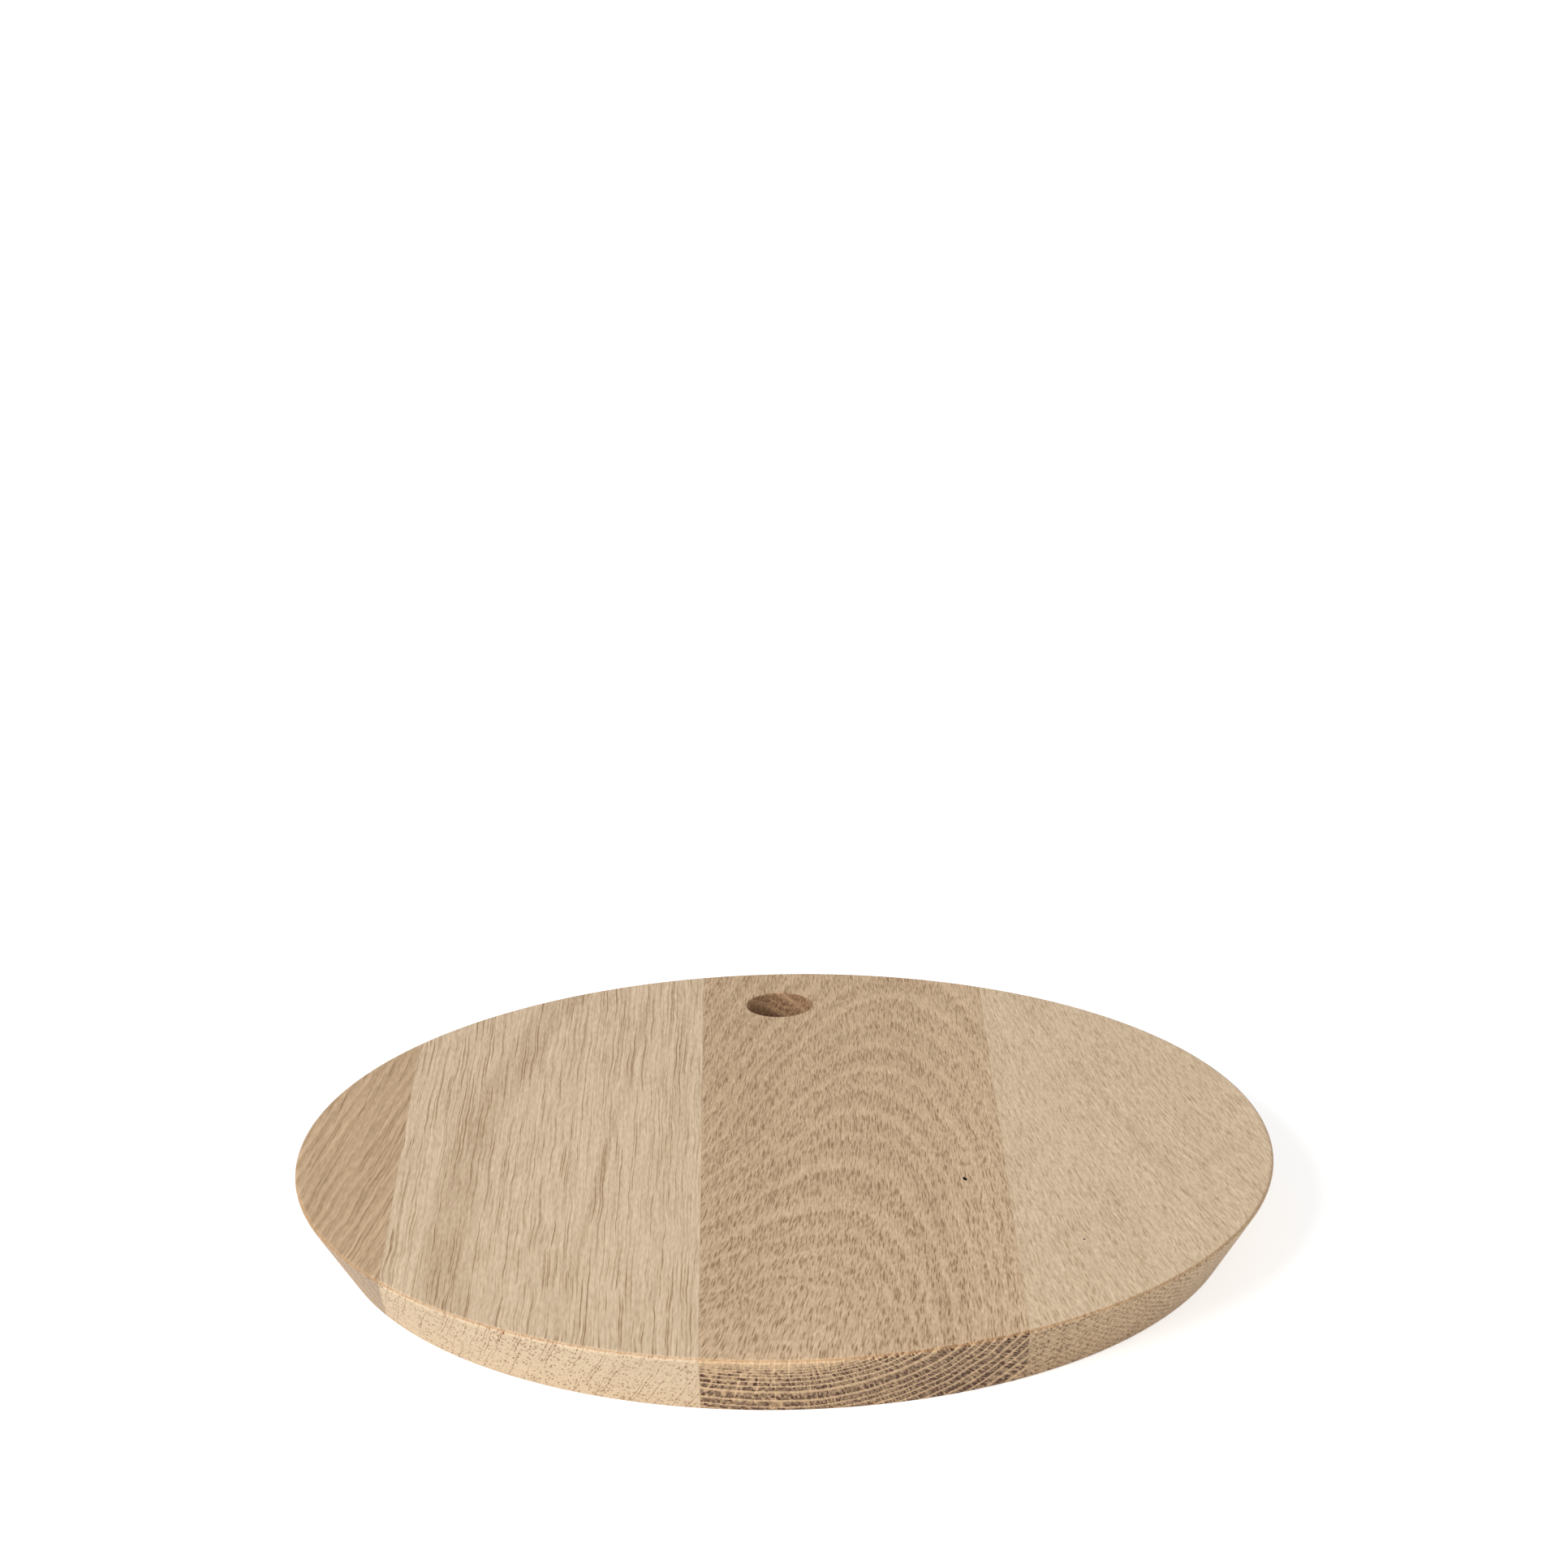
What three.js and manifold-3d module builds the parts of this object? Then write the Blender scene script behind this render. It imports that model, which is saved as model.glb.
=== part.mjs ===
// Round oak cutting board: staves glued edge to edge, an undercut rim and a hole to hang it by.
// Millimetres, +Z up. The origin is the centre of the underside, the staves run along Y,
// and the hole lies towards +Y.

import * as THREE from "three";
import { mergeVertices } from "three/addons/utils/BufferGeometryUtils.js";
import Module from "manifold-3d";

// Driving dimensions of the disc
const RIM_RADIUS = 150; // widest circle, just below the top face
const THICKNESS = 21.5;
const UNDERCUT_ANGLE = 32; // degrees that the rim leans in from the vertical, going down
const RIM_EDGE_RADIUS = 1; // sanded rounding between the top face and the undercut
const BASE_EDGE_RADIUS = 0.8; // sanded rounding between the undercut and the underside

// Driving dimensions of the hanging hole
const HOLE_RADIUS = 10.8;
const HOLE_TO_RIM = 18.6; // wood left between the hole and the rim
const HOLE_EASE_RADIUS = 0.5; // rounding of both mouths

// Driving dimensions of the glued panel
const LEFT_EDGE_STAVE = 31.9; // from the left rim to the first joint
const RIGHT_EDGE_STAVE = 82.8; // from the last joint to the right rim
const GLUE_LINE = 0.15; // thickness of the cured glue

// Fineness of the round faces
const RIM_SEGMENTS = 180;
const HOLE_SEGMENTS = 64;
const EDGE_STEPS = 2; // half the steps round each sanded edge

// How far a cutting shape runs past the face that it cuts
const CUT_OVERRUN = 5;

// Sizes that follow
const UNDERCUT = THREE.MathUtils.degToRad(UNDERCUT_ANGLE);
const HOLE_Y = RIM_RADIUS - HOLE_TO_RIM - HOLE_RADIUS;
const LEFT_JOINT_X = LEFT_EDGE_STAVE - RIM_RADIUS;
const RIGHT_JOINT_X = RIM_RADIUS - RIGHT_EDGE_STAVE;
const MIDDLE_JOINT_X = (LEFT_JOINT_X + RIGHT_JOINT_X) / 2; // the two staves inside are equally wide

const QUARTER_TURN = Math.PI / 2;
const HALF_TURN = Math.PI;

const wasm = await Module();
wasm.setup();

// An oak stave's material. Its colour is read off the photograph's evenly lit top.
const oak = (colour) =>
  new THREE.MeshStandardMaterial({
    color: colour,
    roughness: 0.7,
    metalness: 0,
  });

const glue = new THREE.MeshStandardMaterial({
  color: 0xa98d68,
  roughness: 0.5,
  metalness: 0,
});

// A closed geometry as a solid that can be cut. Triangles that closed up to a line at the axis are dropped.
function solidOf(geometry) {
  geometry.deleteAttribute("normal");
  geometry.deleteAttribute("uv");
  const merged = mergeVertices(geometry);
  const corners = merged.index.array;
  const triVerts = [];
  for (let i = 0; i < corners.length; i += 3) {
    const [a, b, c] = corners.slice(i, i + 3);
    if (a !== b && b !== c && c !== a) triVerts.push(a, b, c);
  }
  return new wasm.Manifold(
    new wasm.Mesh({
      numProp: 3,
      vertProperties: merged.attributes.position.array,
      triVerts: new Uint32Array(triVerts),
    }),
  );
}

// A cut solid as a geometry to show.
function geometryOf(solid) {
  const { vertProperties, triVerts } = solid.getMesh();
  const geometry = new THREE.BufferGeometry();
  geometry.setAttribute("position", new THREE.BufferAttribute(vertProperties, 3));
  geometry.setIndex(new THREE.BufferAttribute(triVerts, 1));
  geometry.computeVertexNormals();
  return geometry;
}

// A profile of radius and height, turned about the Z axis.
function turned(profile, segments) {
  const geometry = new THREE.LatheGeometry(profile.getPoints(EDGE_STEPS), segments);
  return solidOf(geometry.rotateX(QUARTER_TURN));
}

// The disc's profile: flat underside, rounded lower edge, leaning rim, rounded upper edge, flat top.
// The leaning side is tangent to both roundings.
function boardProfile() {
  const rimArcRadius = RIM_RADIUS - RIM_EDGE_RADIUS;
  const rimArcHeight = THICKNESS - RIM_EDGE_RADIUS;
  const lean = (rimArcHeight - BASE_EDGE_RADIUS) * Math.tan(UNDERCUT);
  const roundingShift = (RIM_EDGE_RADIUS - BASE_EDGE_RADIUS) / Math.cos(UNDERCUT);
  const baseArcRadius = rimArcRadius - lean + roundingShift;
  const profile = new THREE.Path();
  profile.moveTo(0, 0);
  profile.lineTo(baseArcRadius, 0);
  profile.absarc(baseArcRadius, BASE_EDGE_RADIUS, BASE_EDGE_RADIUS, -QUARTER_TURN, -UNDERCUT);
  profile.absarc(rimArcRadius, rimArcHeight, RIM_EDGE_RADIUS, -UNDERCUT, QUARTER_TURN);
  profile.lineTo(0, THICKNESS);
  return profile;
}

// The hole's profile, flared at both mouths to ease their edges.
function holeProfile() {
  const mouthRadius = HOLE_RADIUS + HOLE_EASE_RADIUS;
  const profile = new THREE.Path();
  profile.moveTo(0, -CUT_OVERRUN);
  profile.lineTo(mouthRadius, -CUT_OVERRUN);
  profile.absarc(mouthRadius, HOLE_EASE_RADIUS, HOLE_EASE_RADIUS, -QUARTER_TURN, -HALF_TURN, true);
  profile.absarc(mouthRadius, THICKNESS - HOLE_EASE_RADIUS, HOLE_EASE_RADIUS, HALF_TURN, QUARTER_TURN, true);
  profile.lineTo(mouthRadius, THICKNESS + CUT_OVERRUN);
  profile.lineTo(0, THICKNESS + CUT_OVERRUN);
  return profile;
}

const board = turned(boardProfile(), RIM_SEGMENTS)
  .subtract(turned(holeProfile(), HOLE_SEGMENTS).translate(0, HOLE_Y, 0));

// What the board holds between two upright planes that run along the grain.
function slice(fromX, toX) {
  const reach = RIM_RADIUS + CUT_OVERRUN;
  const slab = new THREE.BoxGeometry(toX - fromX, 2 * reach, THICKNESS + 2 * CUT_OVERRUN);
  slab.translate((fromX + toX) / 2, 0, THICKNESS / 2);
  return board.intersect(solidOf(slab));
}

const cuttingBoard = new THREE.Group();

// Adds a piece. A hole that crosses a joint parts a glue line in two, and each part is its own piece.
function addPiece(name, solid, material) {
  solid.decompose().forEach((body, index) => {
    const mesh = new THREE.Mesh(geometryOf(body), material);
    mesh.name = index === 0 ? name : `${name}_part_${index + 1}`;
    cuttingBoard.add(mesh);
  });
}

// The cured glue, from left to right.
const GLUE_LINES = [
  { name: "left_glue_line", x: LEFT_JOINT_X },
  { name: "middle_glue_line", x: MIDDLE_JOINT_X },
  { name: "right_glue_line", x: RIGHT_JOINT_X },
];
for (const { name, x } of GLUE_LINES) {
  addPiece(name, slice(x - GLUE_LINE / 2, x + GLUE_LINE / 2), glue);
}

// The staves, from left to right. Each reaches from one glue line, or from past the rim, to the next.
const STAVES = [
  { name: "left_edge_stave", colour: 0xbea383 },
  { name: "left_stave", colour: 0xcbb295 },
  { name: "right_stave", colour: 0xbea385 },
  { name: "right_edge_stave", colour: 0xcbb497 },
];
const pastRim = RIM_RADIUS + CUT_OVERRUN;
STAVES.forEach(({ name, colour }, index) => {
  const glueBefore = GLUE_LINES[index - 1];
  const glueAfter = GLUE_LINES[index];
  const fromX = glueBefore ? glueBefore.x + GLUE_LINE / 2 : -pastRim;
  const toX = glueAfter ? glueAfter.x - GLUE_LINE / 2 : pastRim;
  addPiece(name, slice(fromX, toX), oak(colour));
});

export default cuttingBoard;
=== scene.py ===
# %% [markdown]
# # A round oak cutting board
#
# The board is a panel of four oak staves, glued edge to edge and then turned to a disc. Its rim is
# undercut, so that fingers reach below it, and one hole near the rim hangs it on a peg. The shapes are
# few and plain, so the wood has to carry the picture: this lesson spends most of its cells on growing oak
# from numbers.
#
# Everything made here is in metres, in the same frame, with +Z up, the staves along Y and the hole
# towards +Y.

import math
from types import SimpleNamespace

import bpy
from mathutils import Matrix, Vector


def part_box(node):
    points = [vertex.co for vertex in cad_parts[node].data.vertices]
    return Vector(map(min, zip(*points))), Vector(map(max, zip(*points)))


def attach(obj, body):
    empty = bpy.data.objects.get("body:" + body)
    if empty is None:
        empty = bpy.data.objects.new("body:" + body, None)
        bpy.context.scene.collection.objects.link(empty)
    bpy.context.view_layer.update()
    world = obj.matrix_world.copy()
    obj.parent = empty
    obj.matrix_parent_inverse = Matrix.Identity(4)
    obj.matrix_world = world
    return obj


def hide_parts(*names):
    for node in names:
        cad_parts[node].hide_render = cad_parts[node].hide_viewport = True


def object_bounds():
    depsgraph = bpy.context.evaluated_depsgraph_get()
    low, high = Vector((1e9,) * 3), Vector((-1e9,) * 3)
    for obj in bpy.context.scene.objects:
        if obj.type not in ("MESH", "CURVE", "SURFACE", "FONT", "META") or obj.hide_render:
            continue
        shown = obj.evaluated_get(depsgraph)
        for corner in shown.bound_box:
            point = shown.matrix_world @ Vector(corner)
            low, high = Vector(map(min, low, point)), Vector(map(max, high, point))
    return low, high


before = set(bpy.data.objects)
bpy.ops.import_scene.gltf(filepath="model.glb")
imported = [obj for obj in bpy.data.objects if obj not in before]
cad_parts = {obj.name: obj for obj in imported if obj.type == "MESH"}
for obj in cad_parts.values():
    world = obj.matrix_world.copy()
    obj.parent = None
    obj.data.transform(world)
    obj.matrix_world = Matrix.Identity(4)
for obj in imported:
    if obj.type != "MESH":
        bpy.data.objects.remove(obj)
cad_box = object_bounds()
print("nodes:", sorted(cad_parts))

# %% [markdown]
# ## Sizes
#
# The rim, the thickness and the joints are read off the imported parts, so the pieces made here fit them
# exactly. What a box can't tell, such as the slope of the undercut and the roundings, is written down
# once.

# %% Read the sizes
MM = 0.001

rim_radius = cad_box[1][0]
thickness = cad_box[1][2]
undercut = math.radians(32)
rim_rounding = 1.0 * MM
base_rounding = 0.8 * MM

hole_radius = 10.8 * MM
hole_to_rim = 18.6 * MM
hole_easing = 0.5 * MM
hole_y = rim_radius - hole_to_rim - hole_radius

print(f"disc {2 * rim_radius / MM:.1f} mm across and {thickness / MM:.1f} mm thick")
print(f"hole {2 * hole_radius / MM:.1f} mm across at y {hole_y / MM:.1f} mm")

# %% [markdown]
# ## Writing node trees as sums
#
# Both geometry and finishes are node trees. Linking nodes one by one hides the thought behind them, so
# one small class wraps an output socket: sums on wires add Math nodes, and one method adds any other
# node. Its settings are set before its sockets, because a setting can change which sockets a node has.

# %% A wire in a node tree
class Wire:
    """An output socket of a node tree. Arithmetic on wires adds Math nodes to that tree."""

    def __init__(self, tree, socket=None):
        self.tree = tree
        self.socket = socket

    def node(self, kind, settings=None, inputs=None, output=0):
        """Adds a node of that kind and returns a wire from one of its outputs."""
        made = self.tree.nodes.new(kind)
        for name, value in (settings or {}).items():
            if name == "stops":
                set_stops(made.color_ramp, value)
            elif name == "items":
                set_items(made.index_switch_items, value)
            else:
                setattr(made, name, value)
        for name, value in (inputs or {}).items():
            for one in value if isinstance(value, list) else [value]:
                if isinstance(one, Wire):
                    self.tree.links.new(one.socket, made.inputs[name])
                else:
                    made.inputs[name].default_value = one
        return Wire(self.tree, made.outputs[output] if made.outputs else None)

    def other(self, output):
        """A wire from another output of the same node."""
        return Wire(self.tree, self.socket.node.outputs[output])

    def math(self, operation, *values):
        return self.node("ShaderNodeMath", {"operation": operation}, dict(enumerate(values)))

    def __add__(self, value):
        return self.math("ADD", self, value)

    def __sub__(self, value):
        return self.math("SUBTRACT", self, value)

    def __rsub__(self, value):
        return self.math("SUBTRACT", value, self)

    def __mul__(self, value):
        return self.math("MULTIPLY", self, value)

    def __truediv__(self, value):
        return self.math("DIVIDE", self, value)

    def __rtruediv__(self, value):
        return self.math("DIVIDE", value, self)

    __radd__ = __add__
    __rmul__ = __mul__


def set_stops(ramp, stops):
    """Gives a colour ramp its stops: pairs of a place and a grey level."""
    while len(ramp.elements) < len(stops):
        ramp.elements.new(1.0)
    for element, (place, level) in zip(ramp.elements, stops):
        element.position = place
        element.color = (level, level, level, 1.0)


def set_items(items, count):
    """Gives an Index Switch its number of choices."""
    while len(items) < count:
        items.new()


print("wires are ready")

# %% [markdown]
# ## Turning
#
# A maker glues the panel first, turns it on a lathe and then drills it, and the tree made here does the
# same. The profile of a turned shape is a line through a few corners, which Fillet Curve rounds. Bevels
# on a finished mesh would do for the roundings too, but a profile keeps every rounding an exact size.

# %% A rounded profile
ROUNDING_STEPS = 8


def combine(wire, x, y, z):
    return wire.node("ShaderNodeCombineXYZ", None, {"X": x, "Y": y, "Z": z})


def split(vector):
    x = vector.node("ShaderNodeSeparateXYZ", None, {"Vector": vector})
    return x, x.other("Y"), x.other("Z")


def choose(wire, data_type, choices):
    """A field that gives the first point the first choice, the second point the second, and so on."""
    inputs = {"Index": wire.node("GeometryNodeInputIndex")}
    for number, choice in enumerate(choices):
        inputs[str(number)] = choice
    return wire.node("GeometryNodeIndexSwitch", {"data_type": data_type, "items": len(choices)}, inputs)


def profile(wire, corners):
    """A line through corners, each a radius, a height and a rounding."""
    line = wire.node("GeometryNodeMeshLine", None, {"Count": len(corners)})
    curve = wire.node("GeometryNodeMeshToCurve", None, {"Mesh": line})
    places = choose(wire, "VECTOR", [combine(wire, radius, 0.0, height) for radius, height, _ in corners])
    placed = wire.node("GeometryNodeSetPosition", None, {"Geometry": curve, "Position": places})
    roundings = choose(wire, "FLOAT", [rounding for _, _, rounding in corners])
    inputs = {"Curve": placed, "Count": ROUNDING_STEPS, "Radius": roundings}
    return wire.node("GeometryNodeFilletCurve", {"mode": "POLY"}, inputs)


print(f"a rounding has {ROUNDING_STEPS} steps")

# %% [markdown]
# Curve to Mesh along a circle could turn the profile. Here a flat grid is bent round instead: one way of
# the grid is the angle, the other way is the profile, and each point goes exactly where a sine and a
# cosine put it. The seam and the points at the axis are then merged.

# %% A turned solid
MERGE_DISTANCE = 0.001 * MM
FULL_TURN = 2 * math.pi


def point_of(outline, index):
    """The place of a numbered point of a profile."""
    inputs = {"Geometry": outline, "Value": outline.node("GeometryNodeInputPosition"), "Index": index}
    return outline.node("GeometryNodeSampleIndex", {"data_type": "FLOAT_VECTOR", "domain": "POINT"}, inputs)


def turned(outline, steps):
    """A profile turned about Z, in so many steps."""
    count = outline.node(
        "GeometryNodeAttributeDomainSize", {"component": "CURVE"}, {"Geometry": outline}, "Point Count"
    )
    grid = outline.node("GeometryNodeMeshGrid", None, {"Vertices X": steps + 1, "Vertices Y": count})
    index = outline.node("GeometryNodeInputIndex")
    step = outline.math("FLOOR", index / count)
    radius, _, height = split(point_of(outline, index - step * count))
    angle = step * (FULL_TURN / steps)
    across = radius * outline.math("COSINE", angle)
    along = radius * outline.math("SINE", angle)
    places = combine(outline, across, along, height)
    bent = outline.node("GeometryNodeSetPosition", None, {"Geometry": grid, "Position": places})
    return outline.node("GeometryNodeMergeByDistance", None, {"Geometry": bent, "Distance": MERGE_DISTANCE})


print(f"points of a turned solid closer than {MERGE_DISTANCE / MM} mm are merged")

# %% [markdown]
# ## One tree for every stave
#
# A stave is what the turned disc and a plank have in common, less the drill. A line of cured glue is the
# same thing, only very thin, so one Geometry Nodes tree makes all seven pieces. Its sizes are named
# inputs, and a modifier sets them by their identifiers.

# %% Inputs of the stave tree
STAVE_SIZES = [
    "Left face",
    "Right face",
    "Rim radius",
    "Thickness",
    "Undercut",
    "Rim rounding",
    "Base rounding",
    "Hole radius",
    "Hole centre",
    "Hole easing",
]

stave_tree = bpy.data.node_groups.new("stave", "GeometryNodeTree")
stave_sockets = {}


def add_input(name, socket_type):
    socket = stave_tree.interface.new_socket(name, in_out="INPUT", socket_type=socket_type)
    stave_sockets[name] = socket.identifier


for size_name in STAVE_SIZES:
    add_input(size_name, "NodeSocketFloat")
add_input("Finish", "NodeSocketMaterial")
stave_tree.interface.new_socket("Mesh", in_out="OUTPUT", socket_type="NodeSocketGeometry")
given = Wire(stave_tree).node("NodeGroupInput")
print(f"the stave tree has {len(stave_sockets)} inputs")

# %% [markdown]
# The disc is widest just below its top, and its rim leans in towards the underside. The rounded rim
# touches the rim radius, so the sharp corner that Fillet Curve takes away lies a little further out.

# %% The turned disc
RIM_STEPS = 360

rim = given.other("Rim radius")
high = given.other("Thickness")
rounding = given.other("Rim rounding")
slope = given.math("TANGENT", given.other("Undercut"))
slant = given.math("COSINE", given.other("Undercut"))
top_corner = rim - rounding + rounding * (1 / slant + slope)
base_corner = top_corner - high * slope
disc_corners = [
    (0.0, 0.0, 0.0),
    (base_corner, 0.0, given.other("Base rounding")),
    (top_corner, high, rounding),
    (0.0, high, 0.0),
]
disc = turned(profile(given, disc_corners), RIM_STEPS)
print(f"the rim is turned in {RIM_STEPS} steps")

# %% [markdown]
# The plank is a block between the two faces of the stave. It runs past the rim and past both level faces,
# because a Boolean likes faces that cross each other better than faces that only touch.

# %% Cut a stave from the disc
CUT_OVERRUN = 5 * MM
SOLVER = "MANIFOLD"


def moved(shape, move):
    return shape.node("GeometryNodeTransform", None, {"Geometry": shape, "Translation": move})


def boolean(operation, inputs):
    return given.node("GeometryNodeMeshBoolean", {"operation": operation, "solver": SOLVER}, inputs)


left = given.other("Left face")
right = given.other("Right face")
plank_size = combine(given, right - left, 2 * (rim + CUT_OVERRUN), high + 2 * CUT_OVERRUN)
plank = given.node("GeometryNodeMeshCube", None, {"Size": plank_size})
plank = moved(plank, combine(given, (left + right) / 2, 0.0, high / 2))
stave = boolean("INTERSECT", {"Mesh 2": [disc, plank]})
print(f"the plank runs {CUT_OVERRUN / MM:.0f} mm past the disc")

# %% [markdown]
# The hole is drilled, and sandpaper eases its mouths, so the drill's profile flares where it passes the
# level faces.
#
# On the right stave a pin knot has left a small dark pit. It is cut for real, by a stretched ball.

# %% Drill the hole and cut the pit
HOLE_STEPS = 96
PIT_PLACE = (54.4 * MM, -27.4 * MM, thickness)
PIT_SIZE = (0.5 * MM, 1.5 * MM, 1.6 * MM)
PIT_TURN = math.radians(14)
PIT_SEGMENTS = 16
PIT_RINGS = 8

bore = given.other("Hole radius")
easing = given.other("Hole easing")
mouth = bore + easing
drill_corners = [
    (0.0, -CUT_OVERRUN, 0.0),
    (mouth, -CUT_OVERRUN, 0.0),
    (mouth, 0.0, 0.0),
    (bore, 0.0, easing),
    (bore, high, easing),
    (mouth, high, 0.0),
    (mouth, high + CUT_OVERRUN, 0.0),
    (0.0, high + CUT_OVERRUN, 0.0),
]
drill = turned(profile(given, drill_corners), HOLE_STEPS)
drill = moved(drill, combine(given, 0.0, given.other("Hole centre"), 0.0))

ball_inputs = {"Segments": PIT_SEGMENTS, "Rings": PIT_RINGS, "Radius": 1.0}
ball = given.node("GeometryNodeMeshUVSphere", None, ball_inputs)
pit_turn = (0.0, 0.0, PIT_TURN)
pit_inputs = {"Geometry": ball, "Translation": PIT_PLACE, "Rotation": pit_turn, "Scale": PIT_SIZE}
pit = given.node("GeometryNodeTransform", None, pit_inputs)
cut_stave = boolean("DIFFERENCE", {"Mesh 1": stave, "Mesh 2": [drill, pit]})
print(f"the pit is {2 * PIT_SIZE[0] / MM:.1f} mm wide and {2 * PIT_SIZE[1] / MM:.1f} mm long")

# %% [markdown]
# Light should run smoothly round the turned faces, and break at the flat ones. Level faces and joint
# faces are therefore shaded flat, the rest smooth, and every edge that bends more than a crease stays
# sharp.

# %% Shade the faces
FLAT = 0.9999
CREASE_ANGLE = math.radians(30)


def shade_smooth(shape, domain, where):
    return given.node("GeometryNodeSetShadeSmooth", {"domain": domain}, {0: shape, "Shade Smooth": where})


normal_x, normal_y, normal_z = split(given.node("GeometryNodeInputNormal"))
flatness = given.math("MAXIMUM", given.math("ABSOLUTE", normal_x), given.math("ABSOLUTE", normal_z))
bend = given.node("GeometryNodeInputMeshEdgeAngle", None, None, "Unsigned Angle")
shaded = shade_smooth(cut_stave, "FACE", given.math("LESS_THAN", flatness, FLAT))
shaded = shade_smooth(shaded, "EDGE", given.math("LESS_THAN", bend, CREASE_ANGLE))
print(f"edges past {math.degrees(CREASE_ANGLE):.0f} degrees stay sharp")

# %% [markdown]
# The wood's finish needs to know where the saw cut across the fibres, because end grain drinks more
# light, and where the rounded edges are. There it paints the wood browner and darker: partly the colour
# that sandpaper leaves, and partly painted shade that holds back the extra light the roundings catch. The
# tree stores both on the faces. End grain is the share of a face's normal that lies along the grain. The
# edge
# mark is strongest half way round: on the upper edges that is between level and upright, and on the base
# edge it is further down.

# %% Mark end grain and the sanded edges with their painted shade
UPPER_EDGE = {"height": 0.6, "reach": 0.4}
BASE_EDGE = {"height": -0.75, "reach": 0.2}


def half_way(height, reach):
    """1 where the normal points up by that height, and 0 or less past the reach on either side."""
    return 1 - given.math("ABSOLUTE", normal_z - height) / reach


def store(shape, name, value):
    inputs = {"Geometry": shape, "Name": name, "Value": value}
    return given.node("GeometryNodeStoreNamedAttribute", {"data_type": "FLOAT", "domain": "FACE"}, inputs)


# The edge mark is partly sanding colour and partly painted shade on the roundings
wear_and_shade_band = given.math("MAXIMUM", half_way(**UPPER_EDGE), half_way(**BASE_EDGE))
marked = store(shaded, "end_grain", given.math("ABSOLUTE", normal_y))
marked = store(marked, "worn_edge", given.math("MAXIMUM", wear_and_shade_band, 0.0))
real = given.node("GeometryNodeRealizeInstances", None, {"Geometry": marked})
finish_inputs = {"Geometry": real, "Material": given.other("Finish")}
finished = given.node("GeometryNodeSetMaterial", None, finish_inputs)
given.node("NodeGroupOutput", None, {"Mesh": finished})
print(f"stave tree: {len(stave_tree.nodes)} nodes")

# %% [markdown]
# ## Oak
#
# Oak shows what it is made of: growth rings, open vessels that look like fine dashes along the grain and
# like dots across it, and broad rays that run out from the pith. A flat picture of wood would not turn
# the corner from the top to the rim, so the finish is solid: each stave has its own place in a tree
# trunk. The pith of that trunk is a line that leans away from the stave's length, and everything follows
# from the distance to it.
#
# All lengths inside the finish are millimetres. A few helpers come first: for colours, for patterns, and
# for reading the place and the marks of a point.

# %% Colours and materials
def srgb(red, green, blue):
    """A colour as a screen shows it, from 0 to 255, made linear."""
    def linear(level):
        level = level / 255
        return level / 12.92 if level <= 0.04045 else ((level + 0.055) / 1.055) ** 2.4

    return (linear(red), linear(green), linear(blue), 1.0)


def mix(factor, first, second):
    """Two colours, mixed."""
    return factor.node("ShaderNodeMix", {"data_type": "RGBA"}, {0: factor, 6: first, 7: second}, 2)


def bare_material(name):
    """A material without nodes, and a wire to start its tree from."""
    material = bpy.data.materials.new(name)
    material.use_nodes = True
    material.node_tree.nodes.clear()
    return material, Wire(material.node_tree)


def millimetres(start):
    """The place on the board, in millimetres."""
    metres = start.node("ShaderNodeTexCoord", None, None, "Object")
    return split(start.node("ShaderNodeVectorMath", {"operation": "SCALE"}, {0: metres, "Scale": 1 / MM}))


def stored(start, name):
    """What the stave tree stored on the faces."""
    return start.node("ShaderNodeAttribute", {"attribute_name": name}, None, "Fac")


def cover(start, inputs):
    """Ends a material's tree in one shader with these inputs."""
    shader = start.node("ShaderNodeBsdfPrincipled", None, inputs)
    start.node("ShaderNodeOutputMaterial", None, {"Surface": shader})


print("colours and materials are ready")

# %% [markdown]
# Patterns come from two textures. Noise gives soft strands, and Voronoi gives scattered points, each with
# a colour of its own that serves as dice: one channel can decide whether a vessel is there, and another
# how dark it is. Both are stretched by dividing the place by a width and a length.

# %% Patterns
NOISE_MEAN = 0.5


def fade(value, low, high):
    """0 at low, 1 at high and smooth between. Low may be the larger one."""
    inputs = {"Value": value, "From Min": low, "From Max": high}
    return value.node("ShaderNodeMapRange", {"interpolation_type": "SMOOTHSTEP"}, inputs)


def ramp(value, stops):
    return value.node("ShaderNodeValToRGB", {"stops": stops}, {"Fac": value})


def noise(x, y, z, detail=0.0):
    inputs = {"Vector": combine(x, x, y, z), "Scale": 1.0, "Detail": detail}
    return x.node("ShaderNodeTexNoise", None, inputs)


def cells(x, y, z):
    """Distance to the nearest of many scattered points. The node's Color is random for each point."""
    return x.node("ShaderNodeTexVoronoi", None, {"Vector": combine(x, x, y, z), "Scale": 1.0})


def swing(pattern):
    """A pattern from 0 to 1 as a swing about zero."""
    return pattern - NOISE_MEAN


def from_least(least, level):
    """A level from 0 to 1, raised so that it starts at the least one."""
    return least + level * (1 - least)


def kept(chance, share, softness):
    """1 for about that share of the scattered points, and 0 for the rest."""
    return fade(chance, 1 - share, 1 - share + softness)


print("patterns are ready")

# %% [markdown]
# Fibres wander on their way along a stave: slowly over its length, and in small waves. They also lean,
# bend and fan out, because no stave is sawn exactly along its tree. Three patterns follow the fibres:
# soft strands, short flecks, and the vessels, which are the dark dashes that make oak look like oak.

# %% Fibres and vessels
SWAY_WIDTH = 28
SWAY_LENGTH = 70
SWAY_DETAIL = 3.0
WAVE_WIDTH = 7
WAVE_LENGTH = 16
VEIN_CORE = 0.3
PALEST_VEIN = 0.4


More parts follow.
